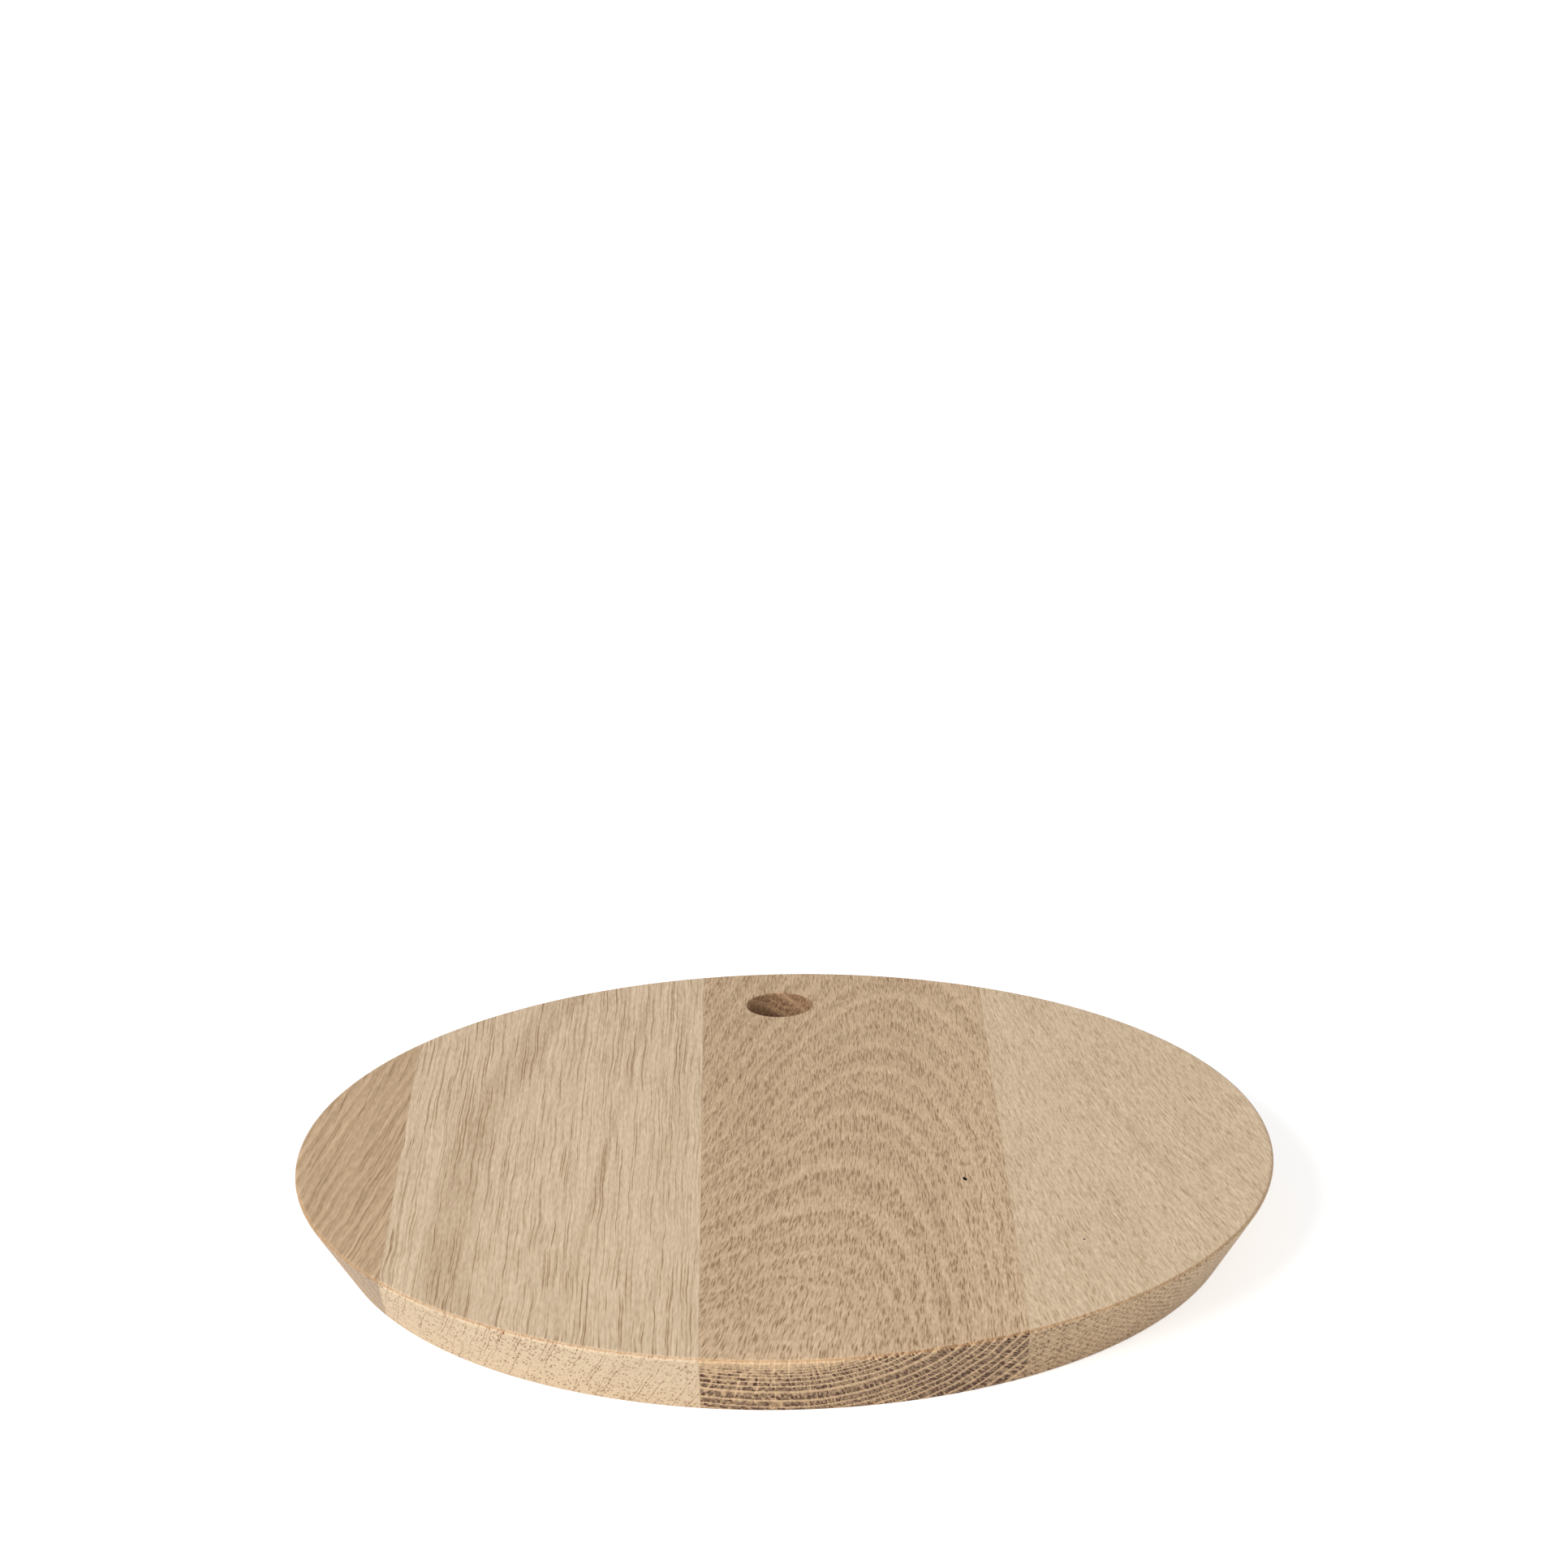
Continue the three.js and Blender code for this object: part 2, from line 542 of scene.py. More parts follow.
def add_sway(grain, wood):
    """The place across the stave, with the wandering of the fibres in it."""
    x, y, z = grain.x, grain.y, grain.z
    seed = wood["seed"]
    slow = noise(x / SWAY_WIDTH + seed, y / SWAY_LENGTH, z / SWAY_WIDTH, SWAY_DETAIL)
    sway_x, _, sway_z = split(slow.other("Color"))
    wave = noise(x / WAVE_WIDTH - seed, y / WAVE_LENGTH, z / WAVE_WIDTH)
    grain.x_swayed = x + swing(sway_x) * wood["sway"] + swing(wave) * wood["wave"]
    grain.z_swayed = z + swing(sway_z) * wood["sway"]


def add_fibres(grain, wood):
    """Strands, flecks and vessels."""
    y = grain.y
    seed = wood["seed"]
    lean, bend = wood["fibre_lean"]
    fibre_x = grain.x_swayed - y * (lean + grain.x * wood["fibre_fan"] + y * bend)
    fibre_z = grain.z_swayed - y * wood["fibre_dive"]
    width, length = wood["strand"]
    grain.strand = noise(fibre_x / width + seed, y / length, fibre_z / width)
    width, length = wood["fleck"]
    grain.fleck = noise(fibre_x / width, y / length + seed, fibre_z / width)
    width, length, reach, grain.vein_season = wood["vein"]
    cell = cells(fibre_x / width, y / length - seed, fibre_z / width)
    tone, _, _ = split(cell.other("Color"))
    grain.vein = fade(cell, reach, reach * VEIN_CORE) * from_least(PALEST_VEIN, tone)


print("fibres and vessels are ready")

# %% [markdown]
# A tree adds one ring each year: first a pale band of wide vessels, then darker, denser wood. A stave
# that shows its rings plainly gets a list of years, from the inside out, and two ramps turn depth into a
# ring's number and its strength. The other staves take rings of one width, with a random strength for
# each.

# %% Counting years
def even_years(depth, width, light):
    ring = depth / width
    year = depth.math("FLOOR", ring)
    chance = depth.node("ShaderNodeTexWhiteNoise", {"noise_dimensions": "1D"}, {"W": year})
    return ring, chance * light


def listed_years(depth, years):
    total = sum(width for width, _ in years)
    count = len(years)
    stops = []
    inner = 0.0
    for number, (width, _) in enumerate(years):
        stops.append((inner / total, number / count))
        inner += width
    stops.append((1.0, 1.0))
    ring = ramp(depth / total, stops) * count
    lights = [((number + 0.5) / count, light) for number, (_, light) in enumerate(years)]
    return ring, ramp((depth.math("FLOOR", ring) + 0.5) / count, lights)


def count_years(depth, years):
    """The ring that a point lies in, counted from the first one, and how plainly its light line shows."""
    if len(years) == 1:
        return even_years(depth, *years[0])
    return listed_years(depth, years)


print("years can be counted")

# %% [markdown]
# Distance and direction from the pith come next. On the right stave the arches are not the same on both
# sides, so the way left of its pith is scaled by a share that changes along the stave. Strands fray the
# rings, more along the grain than across it.

# %% Pith and rings
SEASON = [(0.0, 0.85), (0.1, 0.05), (0.3, 0.1), (0.5, 0.55), (0.95, 0.8), (1.0, 0.85)]
FAINTEST_RING = 0.3
END_CALM = 0.7
STREAK_WIDTH = 12
STREAK_LENGTH = 260
STREAK_DETAIL = 1.0


def uneven(across, y, left_share):
    """The way across, scaled where it lies left of the pith."""
    share, growth, least, most = left_share
    share_here = y.math("MINIMUM", y.math("MAXIMUM", share + y * growth, least), most)
    is_left = y.math("LESS_THAN", across, 0.0)
    return across * (1 + is_left * (share_here - 1))


def add_pith(grain, wood):
    """The distance from the pith, the way round it, and slow streaks."""
    y = grain.y
    pith_x, pith_z = wood["pith"]
    lean_x, lean_z = wood["pith_lean"]
    across = grain.x_swayed - pith_x - y * lean_x
    if wood["left_share"]:
        across = uneven(across, y, wood["left_share"])
    up = grain.z_swayed - pith_z - y * lean_z
    grain.radius = y.math("SQRT", across * across + up * up)
    grain.turn = y.math("ARCTAN2", across, up * -1) * wood["usual_radius"]
    streak_x = across / STREAK_WIDTH + wood["seed"]
    grain.streak = noise(streak_x, y / STREAK_LENGTH, up / STREAK_WIDTH, STREAK_DETAIL)


def add_rings(grain, wood):
    """How far through its year a point grew, and how dark that makes it."""
    depth = grain.y.math("MAXIMUM", grain.radius - wood["first_ring"], 0.0)
    depth = depth + swing(grain.strand) * (1 - grain.end * END_CALM) * wood["ring_fray"]
    ring, light = count_years(depth, wood["years"])
    grain.phase = depth.math("FRACT", ring)
    grain.season = swing(ramp(grain.phase, SEASON)) * from_least(FAINTEST_RING, light)


print(f"a ring has {len(SEASON)} stops of tone")

# %% [markdown]
# Across the grain the vessels are cut open and show as pores, in rows that follow the rings. Rays are
# sheets of cells that stand on the pith like the pages of an open book: thin lines on the rim, and small
# flakes on the top.

# %% Pores and rays
PORE_DRIFT = 30
PORE_CORE = 0.6
PALEST_PORE = 0.3
PORE_SOFTNESS = 0.05
RAY_REACH = 0.42
RAY_CORE = 0.25
PALEST_RAY = 0.4
RAY_SOFTNESS = 0.02


def add_pores(grain, wood):
    width, length, reach, share = wood["pore"]
    cell = cells(grain.turn / width, grain.y / PORE_DRIFT, grain.radius / length)
    chance, tone, _ = split(cell.other("Color"))
    pore = fade(cell, reach, reach * PORE_CORE) * from_least(PALEST_PORE, tone)
    grain.pore = pore * kept(chance, share, PORE_SOFTNESS)


def add_rays(grain, wood):
    width, height, depth = wood["ray_size"]
    cell = cells(grain.turn / width, grain.y / height, grain.radius / depth)
    chance, tone, _ = split(cell.other("Color"))
    ray = fade(cell, RAY_REACH, RAY_CORE) * kept(chance, wood["ray_share"], RAY_SOFTNESS)
    grain.ray = ray * from_least(PALEST_RAY, tone)


print("pores and rays are ready")

# %% [markdown]
# Now the patterns become tones, where 0 is light and 1 is dark, and a tone mixes two colours. Along the
# grain the vessels and the rings count most. Broad soft bands, each along its own path, carry the slow
# changes of tone that give every stave its own face.

# %% The tone along the grain
HEART_REACH = 8
BAND_CORE = 0.4


def side_colour(grain, wood):
    y = grain.y
    side = wood["tone"] + grain.season * wood["ring_contrast"]
    side = side + swing(grain.streak) * wood["streak_contrast"]
    side = side - swing(grain.strand) * wood["strand_contrast"]
    side = side - swing(grain.fleck) * wood["fleck_contrast"]
    vein_share = 1 - grain.vein_season / 2 + grain.season * grain.vein_season
    side = side + grain.vein * vein_share * wood["vein_contrast"] + grain.ray * wood["ray_contrast"]
    first_ring = wood["first_ring"]
    side = side - fade(grain.radius, first_ring + HEART_REACH, first_ring) * wood["heart_light"]
    for path_x, lean, bend, half_width, strength in wood["bands"]:
        aside = y.math("ABSOLUTE", grain.x_swayed - path_x - y * (lean + y * bend))
        side = side + fade(aside, half_width, half_width * BAND_CORE) * strength
    return mix(side, wood["light"], wood["dark"])


print("tones along the grain are ready")

# %% [markdown]
# Across the grain the light line of each ring stands out, and the pores crowd into the dark part of it.
# Near the pith the rings are too fine to see one by one, so the bands fade out there.

# %% The tone across the grain
END_BAND = [(0.0, 0.9), (0.06, 0.0), (0.24, 0.0), (0.36, 0.85), (0.9, 1.0), (1.0, 0.9)]
END_STREAK = 0.15


def add_cross_tone(grain, wood):
    no_band, full_band = wood["heart"]
    heart = fade(grain.radius, wood["first_ring"] + no_band, wood["first_ring"] + full_band)
    band = ramp(grain.phase, END_BAND) * heart
    cross = wood["end_tone"] + band * wood["end_band"] + swing(grain.streak) * END_STREAK
    cross = cross + grain.pore * from_least(wood["pore_spread"], band) * wood["pore_contrast"]
    grain.cross = cross - swing(grain.fleck) * wood["end_fleck"] + grain.ray * wood["end_rays"]


print("tones across the grain are ready")

# %% [markdown]
# Use and tools leave marks on the wood, and the edges take painted shade. The rounded edges are a little
# browner and darker, partly from sandpaper and partly as painted shade against the light they catch. The
# wall of the hole is a darker brown, and knots leave dark specks. Each is a colour laid over the wood by a
# soft mask.

# %% Edges, holes and specks
BEAD_SIZE = 0.8
BEAD_FADE = (0.3, 0.7)
FAINTEST_BEAD = 0.5
# How far past the drill's radius the darker wall tone is gone, and where it is full
WALL_TONE_DEPTH = (0.4, 0.1)
WALL_TONE_STRENGTH = 0.85
WALL_TONE_GRAIN = 0.3
SPECK_FADE = (1.3, 0.7)


# Painted shade mixed with the colour of sanding: the rounded edges are darkened and browned so that they
# show no lighter than their neighbours, though they catch more light.
def with_edge_wear_and_shade(colour, grain, wood):
    bead = noise(grain.x / BEAD_SIZE, grain.y / BEAD_SIZE, grain.z / BEAD_SIZE, 1.0)
    wear_and_shade = grain.worn_edge * from_least(FAINTEST_BEAD, fade(bead, *BEAD_FADE))
    return mix(wear_and_shade * wood["edge_tint"], colour, wood["edge_colour"])


# The wall of the hole and its eased mouth are painted a darker brown, with grain in it
def with_holes(colour, grain, wood):
    for drill_x, drill_y, drill_radius in wood["holes"]:
        off_x = grain.x - drill_x
        off_y = grain.y - drill_y
        aside = grain.x.math("SQRT", off_x * off_x + off_y * off_y)
        outer, inner = (drill_radius + depth for depth in WALL_TONE_DEPTH)
        wall_tone = mix(grain.fleck - swing(grain.cross) * WALL_TONE_GRAIN, wood["hole_dark"], wood["hole_light"])
        colour = mix(fade(aside, outer, inner) * WALL_TONE_STRENGTH, colour, wall_tone)
    return colour


def with_specks(colour, grain, wood):
    for speck_x, speck_y, half_width, half_length, speck_turn in wood["specks"]:
        off_x = grain.x - speck_x
        off_y = grain.y - speck_y
        along = (off_y * math.cos(speck_turn) - off_x * math.sin(speck_turn)) / half_length
        aside = (off_x * math.cos(speck_turn) + off_y * math.sin(speck_turn)) / half_width
        colour = mix(fade(aside * aside + along * along, *SPECK_FADE), colour, wood["speck_colour"])
    return colour


print("edges, holes and specks are ready")

# %% [markdown]
# The finish puts these together. Raw oak is matte, with a soft sheen on its strands. A Bump node lowers
# vessels and pores by a few hundredths of a millimetre, which is about what sandpaper leaves.

# %% The oak finish
END_GRAIN_FADE = (0.1, 0.7)
BUMP_STRENGTH = 0.1
BUMP_DEPTH = 0.06 * MM
STRAND_RELIEF = 0.5
FLECK_RELIEF = 0.3
VEIN_RELIEF = -0.3
PORE_RELIEF = -0.5
ROUGHNESS = 0.55
STRAND_ROUGHNESS = 0.2
SHINE = 0.3


def oak(name, wood):
    material, start = bare_material(name)
    grain = SimpleNamespace()
    grain.x, grain.y, grain.z = millimetres(start)
    grain.end = fade(stored(start, "end_grain"), *END_GRAIN_FADE)
    grain.worn_edge = stored(start, "worn_edge")
    for add_pattern in (add_sway, add_fibres, add_pith, add_rings, add_pores, add_rays, add_cross_tone):
        add_pattern(grain, wood)
    colour = mix(grain.end, side_colour(grain, wood), mix(grain.cross, wood["end_light"], wood["end_dark"]))
    for with_mark in (with_edge_wear_and_shade, with_holes, with_specks):
        colour = with_mark(colour, grain, wood)
    height = grain.strand * STRAND_RELIEF + grain.fleck * FLECK_RELIEF
    height = height + grain.vein * VEIN_RELIEF + grain.pore * grain.end * PORE_RELIEF
    bump_inputs = {"Strength": BUMP_STRENGTH, "Distance": BUMP_DEPTH, "Height": height}
    cover(start, {
        "Base Color": colour,
        "Roughness": ROUGHNESS + grain.strand * STRAND_ROUGHNESS,
        "Specular IOR Level": SHINE,
        "Normal": start.node("ShaderNodeBump", None, bump_inputs),
    })
    print(f"{name}: {len(material.node_tree.nodes)} nodes")
    return material


print(f"bump distance {BUMP_DEPTH / MM:.2f} mm")

# %% [markdown]
# What all staves share is written once. Widths, lengths and places are millimetres, a contrast is the
# change of tone that a pattern makes, and a share lies between 0 and 1. Each stave then adds a seed, the
# place of its pith across and up at y = 0, the lean of its pith, its years and its colours.

# %% Wood that all staves share
plain = {
    # How far the fibres wander, slowly and in small waves
    "sway": 2.4,
    "wave": 1.2,
    # Lean and bend along the stave, fanning across it, and dive into its depth
    "fibre_lean": (0.0, 0.0),
    "fibre_fan": 0.0,
    "fibre_dive": 0.0,
    # Width and length of strands and flecks
    "strand": (0.72, 22.0),
    "strand_contrast": 0.85,
    "fleck": (0.6, 4.0),
    "fleck_contrast": 0.6,
    # Width, length and reach of vessels, and how much they follow the season
    "vein": (0.8, 40.0, 0.5, 0.3),
    "vein_contrast": 0.1,
    # How much the way left of the pith counts, if not fully: share at y = 0, growth along Y, least and most
    "left_share": None,
    # Distance from the pith to the first ring, and to the middle of the stave
    "first_ring": 50.0,
    "usual_radius": 70.0,
    "ring_fray": 0.6,
    "ring_contrast": 0.25,
    "streak_contrast": 0.15,
    # Width, length, reach and share of pores, and how many lie outside the dark part of a ring
    "pore": (0.8, 1.2, 0.5, 0.6),
    "pore_spread": 0.7,
    "pore_contrast": 0.5,
    # Width, height and depth of rays
    "ray_size": (0.45, 30.0, 45.0),
    "ray_share": 0.25,
    "ray_contrast": 0.1,
    "tone": 0.47,
    "heart_light": 0.0,
    # Path at y = 0, lean, bend, half width and change of tone
    "bands": [],
    # Past the first ring, where end bands start and where they are full
    "heart": (-1.0, 0.0),
    "end_fleck": 0.5,
    "end_rays": -0.3,
    "end_band": 0.3,
    "end_tone": 0.15,
    # Centre and radius
    "holes": [],
    "hole_light": srgb(186, 146, 108),
    "hole_dark": srgb(84, 58, 40),
    # Centre, half width, half length and turn
    "specks": [],
    "speck_colour": srgb(30, 24, 20),
    # Strength and colour of the edge mark: sanding colour and painted shade on the roundings
    "edge_tint": 0.85,
    "edge_colour": srgb(170, 127, 84),
}
print(f"{len(plain)} settings are shared")

# %% [markdown]
# The two left staves are quiet. The edge stave is brown, with wide rings and leaning fibres. The other is
# pale and straight, with long vessels and two darker bands, a broad one that bends and a narrow one.

# %% The left staves
woods = {}
woods["left_edge_stave"] = plain | {
    "seed": 11.0,
    "pith": (-40.0, 36.0),
    "pith_lean": (0.21, 0.01),
    "fibre_lean": (0.14, -0.0002),
    "usual_radius": 90.0,
    "years": [(4.0, 1.0)],
    "strand": (0.65, 60.0),
    "strand_contrast": 0.4,
    "fleck_contrast": 0.4,
    "vein": (0.75, 90.0, 0.5, 0.3),
    "vein_contrast": 0.4,
    "ring_contrast": 0.35,
    "tone": 0.46,
    "light": srgb(232, 201, 164),
    "dark": srgb(140, 106, 70),
    "end_light": srgb(178, 161, 141),
    "end_dark": srgb(108, 74, 46),
    "end_band": 0.15,
}
woods["left_stave"] = plain | {
    "seed": 23.0,
    "pith": (-175.0, -268.0),
    "pith_lean": (0.02, 0.0),
    "fibre_lean": (0.01, 0.0),
    "first_ring": 260.0,
    "usual_radius": 300.0,
    "years": [(4.5, 1.0)],
    "strand": (0.6, 30.0),
    "strand_contrast": 0.42,
    "fleck": (0.5, 4.0),
    "fleck_contrast": 0.42,
    "vein": (0.6, 130.0, 0.5, 0.2),
    "vein_contrast": 0.66,
    "streak_contrast": 0.08,
    "ring_contrast": 0.08,
    "bands": [(-97.0, 0.092, 0.00078, 9.0, 0.14), (-54.5, 0.088, 0.0, 2.0, 0.1)],
    "tone": 0.405,
    "light": srgb(249, 225, 193),
    "dark": srgb(157, 124, 88),
    "end_light": srgb(217, 195, 164),
    "end_dark": srgb(118, 66, 22),
    "end_tone": 0.02,
    "end_band": 0.06,
    "pore": (0.75, 1.2, 0.5, 0.7),
    "pore_contrast": 0.65,
    "end_rays": 0.6,
    "ray_share": 0.4,
    "ray_contrast": 0.0,
}
print("left staves:", list(woods))

# %% [markdown]
# The right stave is the showpiece: a flat-sawn board, whose rings make arches on the top and curved rows
# of pores on the rim. Each year is a width and the strength of its light line, counted outwards. This
# stave also has the hole, and the pit with a dark stain a little wider than itself.

# %% The right stave
PIT_STAIN = 0.1

woods["right_stave"] = plain | {
    "seed": 37.0,
    "pith": (20.0, 92.4),
    "pith_lean": (0.13, 0.135),
    "fibre_lean": (0.085, -0.0001),
    "fibre_fan": -0.0018,
    "fibre_dive": 0.06,
    "left_share": (1.2, 0.0075, 0.45, 1.25),
    "years": [
        (1.0, 0.2), (1.0, 0.3), (1.0, 0.3), (1.1, 0.3), (1.2, 0.3), (1.2, 0.4), (1.4, 0.5), (1.9, 0.6),
        (2.2, 0.6), (2.4, 0.6), (4.2, 1.0), (3.1, 1.0), (2.1, 0.35), (2.5, 1.0), (2.2, 0.35), (3.0, 1.0),
        (2.9, 0.4), (2.9, 0.4), (3.1, 1.0), (3.6, 0.5), (5.0, 0.6), (6.0, 0.6), (6.0, 0.6), (6.0, 0.6),
        (6.0, 0.6),
    ],
    "strand": (0.5, 12.0),
    "strand_contrast": 0.35,
    "fleck": (0.45, 2.5),
    "fleck_contrast": 0.45,
    "vein": (0.42, 12.0, 0.6, 0.5),
    "vein_contrast": 0.85,
    "ring_fray": 1.0,
    "ring_contrast": 0.22,
    "streak_contrast": 0.1,
    "bands": [(-12.0, 0.0, 0.0, 18.0, 0.05), (60.0, 0.0, 0.0, 16.0, -0.06)],
    "tone": 0.41,
    "heart_light": 0.12,
    "heart": (1.0, 8.0),
    "light": srgb(238, 208, 172),
    "dark": srgb(142, 109, 74),
    "end_light": srgb(226, 193, 153),
    "end_dark": srgb(64, 30, 8),
    "end_tone": 0.12,
    "end_band": 0.3,
    "pore": (0.52, 1.7, 0.8, 1.0),
    "pore_spread": 0.3,
    "pore_contrast": 0.78,
    "end_rays": -0.45,
    "holes": [(0.0, hole_y / MM, hole_radius / MM)],
    "specks": [
        (PIT_PLACE[0] / MM, PIT_PLACE[1] / MM, PIT_SIZE[0] / MM + PIT_STAIN, PIT_SIZE[1] / MM, PIT_TURN),
    ],
}
print(f"right stave: {len(woods['right_stave']['years'])} years")

# %% [markdown]
# The right edge stave is the palest. Its fibres fan out towards the rim, its vessels are short, and it
# has one speck.

# %% The right edge stave and all four finishes
woods["right_edge_stave"] = plain | {
    "seed": 53.0,
    "pith": (170.0, 110.0),
    "pith_lean": (0.0, -0.2),
    "fibre_fan": -0.0015,
    "usual_radius": 120.0,
    "years": [(1.7, 1.0)],
    "strand": (0.6, 10.0),
    "strand_contrast": 0.3,
    "fleck": (0.5, 2.5),
    "fleck_contrast": 0.42,
    "vein": (0.55, 8.0, 0.55, 0.3),
    "vein_contrast": 0.42,
    "ring_contrast": 0.14,
    "bands": [(110.0, -0.25, 0.0, 2.0, 0.08)],
    "tone": 0.46,
    "light": srgb(253, 229, 196),
    "dark": srgb(163, 132, 98),
    "end_light": srgb(216, 187, 150),
    "end_dark": srgb(98, 64, 36),
    "end_tone": 0.07,
    "end_band": 0.2,
    "pore": (0.6, 1.1, 0.62, 1.0),
    "pore_contrast": 0.6,
    "specks": [(87.0, -73.4, 0.3, 0.6, 0.0)],
}
finishes = {node: oak("oak_" + node, wood) for node, wood in woods.items()}

# %% [markdown]
# ## Glue
#
# Cured wood glue shows as a hair-thin, slightly darker line. It is far too thin for any pattern to be
# seen, so it takes a plain amber colour with a little cloudiness.

# %% The glue finish
CLOUD_WIDTH = 2
CLOUD_LENGTH = 6
GLUE_ROUGHNESS = 0.4
CLOUD_ROUGHNESS = 0.2


def cured_glue():
    material, start = bare_material("cured_glue")
    x, y, z = millimetres(start)
    cloud = noise(x / CLOUD_WIDTH, y / CLOUD_LENGTH, z / CLOUD_WIDTH)
    colour = mix(cloud, srgb(178, 148, 112), srgb(204, 176, 140))
    cover(start, {"Base Color": colour, "Roughness": GLUE_ROUGHNESS + cloud * CLOUD_ROUGHNESS})
    return material


glue_finish = cured_glue()
print(f"{glue_finish.name}: {len(glue_finish.node_tree.nodes)} nodes")

# %% [markdown]
# ## The pieces
#
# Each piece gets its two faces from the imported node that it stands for, runs through the tree, and
# becomes a plain mesh. A face that lies at the rim isn't a joint: there the plank is made to end past the
# disc.

# %% Run a piece through the tree
RIM_MARGIN = 1 * MM


def stave_sizes(node):
    """What the stave tree needs to know of a piece."""
    low_corner, high_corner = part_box(node)
    last_joint = rim_radius - RIM_MARGIN
    past_rim = rim_radius + CUT_OVERRUN
    return {
        "Left face": low_corner[0] if low_corner[0] > -last_joint else -past_rim,
        "Right face": high_corner[0] if high_corner[0] < last_joint else past_rim,
        "Rim radius": rim_radius,
        "Thickness": thickness,
        "Undercut": undercut,
        "Rim rounding": rim_rounding,
        "Base rounding": base_rounding,
        "Hole radius": hole_radius,
        "Hole centre": hole_y,
        "Hole easing": hole_easing,
    }


def turned_mesh(node, finish):
    """The plain mesh of a piece."""
    blank = bpy.data.objects.new(node + "_blank", bpy.data.meshes.new(node + "_blank"))
    bpy.context.scene.collection.objects.link(blank)
    modifier = blank.modifiers.new("stave", "NODES")
    modifier.node_group = stave_tree
    for name, value in stave_sizes(node).items():
        modifier[stave_sockets[name]] = value
    modifier[stave_sockets["Finish"]] = finish
    evaluated = blank.evaluated_get(bpy.context.evaluated_depsgraph_get())
    mesh = bpy.data.meshes.new_from_object(evaluated)
    bpy.data.objects.remove(blank)
    mesh.name = node + "_turned"
    return mesh


print(f"a face within {RIM_MARGIN / MM:.0f} mm of the rim is no joint")


def make_piece(node, finish):
    mesh = turned_mesh(node, finish)
    piece = bpy.data.objects.new(node + "_turned", mesh)
    bpy.context.scene.collection.objects.link(piece)
    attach(piece, "root")
    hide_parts(node)
    print(f"{piece.name}: {len(mesh.vertices)} points, {len(mesh.polygons)} faces")


for node in sorted(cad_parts):
    make_piece(node, finishes.get(node, glue_finish))

# %% [markdown]
# ## Stage, light and camera
#
# The board lies on a wide white floor in a dim white room. The floor throws light back up under the
# undercut, as a white table does. To the camera both add a little light of their own, so that the ground
# reads as white while the soft shadow stays. Light Path tells whether a ray comes from the camera,
# straight or by way of a reflection or glass, so the extra light doesn't brighten the matte wood.

# %% Floor
WHITE = (1.0, 1.0, 1.0, 1.0)
FLOOR_COLOUR = (0.8, 0.8, 0.8, 1.0)
FLOOR_GLOW = 0.6
FLOOR_SIZE = 12.0
FLOOR_DROP = 0.05 * MM


def seen(start):
    """1 for what the camera sees, also by way of a reflection or glass."""
    camera_ray = start.node("ShaderNodeLightPath", None, None, "Is Camera Ray")
    return camera_ray + camera_ray.other("Is Glossy Ray") + camera_ray.other("Is Transmission Ray")


def white_floor():
    material, start = bare_material("white_floor")
    matte = start.node("ShaderNodeBsdfDiffuse", None, {"Color": FLOOR_COLOUR})
    glow = start.node("ShaderNodeEmission", None, {"Color": WHITE, "Strength": FLOOR_GLOW})
    glowing = start.node("ShaderNodeAddShader", None, {0: matte, 1: glow})
    both = start.node("ShaderNodeMixShader", None, {0: seen(start), 1: matte, 2: glowing})
    start.node("ShaderNodeOutputMaterial", None, {"Surface": both})
    return material


half = FLOOR_SIZE / 2
floor_plan = [(-half, -half), (half, -half), (half, half), (-half, half)]
floor_corners = [(x, y, -FLOOR_DROP) for x, y in floor_plan]
floor_mesh = bpy.data.meshes.new("floor")
floor_mesh.from_pydata(floor_corners, [], [(0, 1, 2, 3)])
floor_mesh.materials.append(white_floor())
floor = bpy.data.objects.new("floor", floor_mesh)
bpy.context.scene.collection.objects.link(floor)
print(f"floor {FLOOR_SIZE:.0f} m wide")

# %% [markdown]
# The room is a world of one colour. It lights the board from all sides, faintly, and looks white itself.

# %% World
ROOM_LIGHT = 0.35
ROOM_WHITE = 1.0

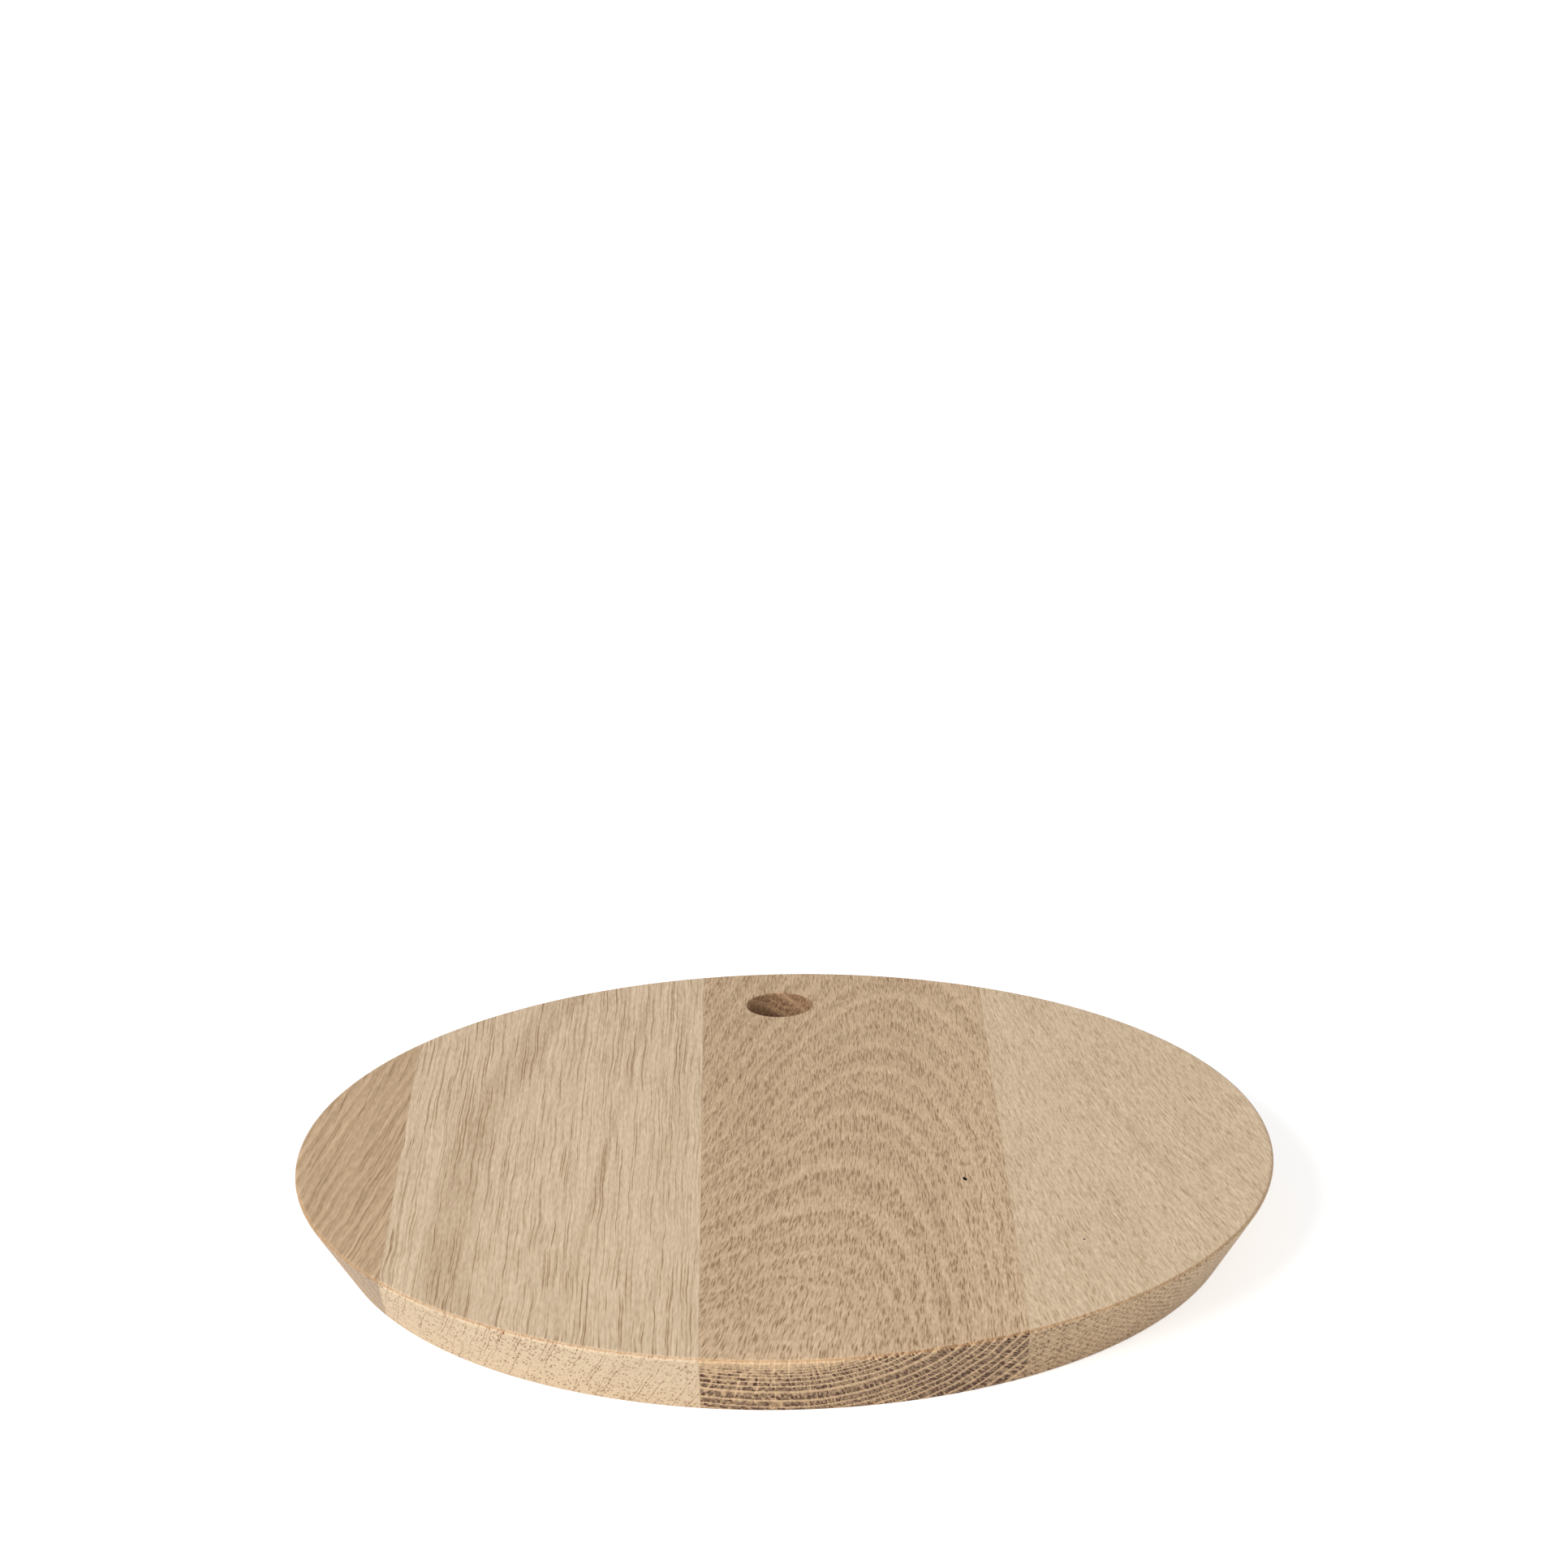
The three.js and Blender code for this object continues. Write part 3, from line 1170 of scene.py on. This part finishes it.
world = bpy.data.worlds.new("white_room")
bpy.context.scene.world = world
world.use_nodes = True
world.node_tree.nodes.clear()
room = Wire(world.node_tree)
dim = room.node("ShaderNodeBackground", None, {"Color": WHITE, "Strength": ROOM_LIGHT})
bright = room.node("ShaderNodeBackground", None, {"Color": WHITE, "Strength": ROOM_WHITE})
both = room.node("ShaderNodeMixShader", None, {0: seen(room), 1: dim, 2: bright})
room.node("ShaderNodeOutputWorld", None, {"Surface": both})
print(f"{world.name}: light {ROOM_LIGHT}")

# %% [markdown]
# Two large soft lamps stand in front, the stronger one on the left, so the left of the rim is the
# lightest. They are several metres away, because the light of a near lamp would fall off from the front
# of the board to its back.

# %% Lamps
BOARD_CENTRE = Vector((0.0, 0.0, 0.0))


def lamp(name, place, size, power):
    light = bpy.data.lights.new(name, "AREA")
    light.shape = "DISK"
    light.size = size
    light.energy = power
    lamp_object = bpy.data.objects.new(name, light)
    lamp_object.location = place
    lamp_object.rotation_euler = (BOARD_CENTRE - Vector(place)).to_track_quat("-Z", "Y").to_euler()
    bpy.context.scene.collection.objects.link(lamp_object)
    print(f"{name}: {power:.0f} W")


lamp("key_lamp", place=(-3.0, -3.0, 2.375), size=2.5, power=219.0)
lamp("fill_lamp", place=(3.25, -3.75, 1.75), size=3.0, power=75.0)

# %% [markdown]
# The camera stands where the photograph was taken from. Its place, its turns and its focal length come
# from a fit to the photographed rim, base edge, hole and glue lines. The focal length is in pixels of a
# picture of that size.

# %% Camera
IMAGE_SIZE = 1932
FOCAL_PIXELS = 5488.0
SENSOR_WIDTH = 36.0
CAMERA_PLACE = (-5.8 * MM, -1266.66 * MM, 561.54 * MM)
CAMERA_TURN = 0.006244
CAMERA_PITCH = 0.321742
CAMERA_ROLL = -0.018746
LEVEL = math.pi / 2

camera_data = bpy.data.cameras.new("camera")
camera_data.sensor_width = SENSOR_WIDTH
camera_data.lens = SENSOR_WIDTH * FOCAL_PIXELS / IMAGE_SIZE
camera = bpy.data.objects.new("camera", camera_data)
bpy.context.scene.collection.objects.link(camera)
camera.matrix_world = (
    Matrix.Translation(CAMERA_PLACE)
    @ Matrix.Rotation(-CAMERA_TURN, 4, "Z")
    @ Matrix.Rotation(LEVEL - CAMERA_PITCH, 4, "X")
    @ Matrix.Rotation(CAMERA_ROLL, 4, "Z")
)
bpy.context.scene.camera = camera
bpy.context.scene.view_settings.view_transform = "Standard"
print(f"camera lens {camera_data.lens:.1f} mm")
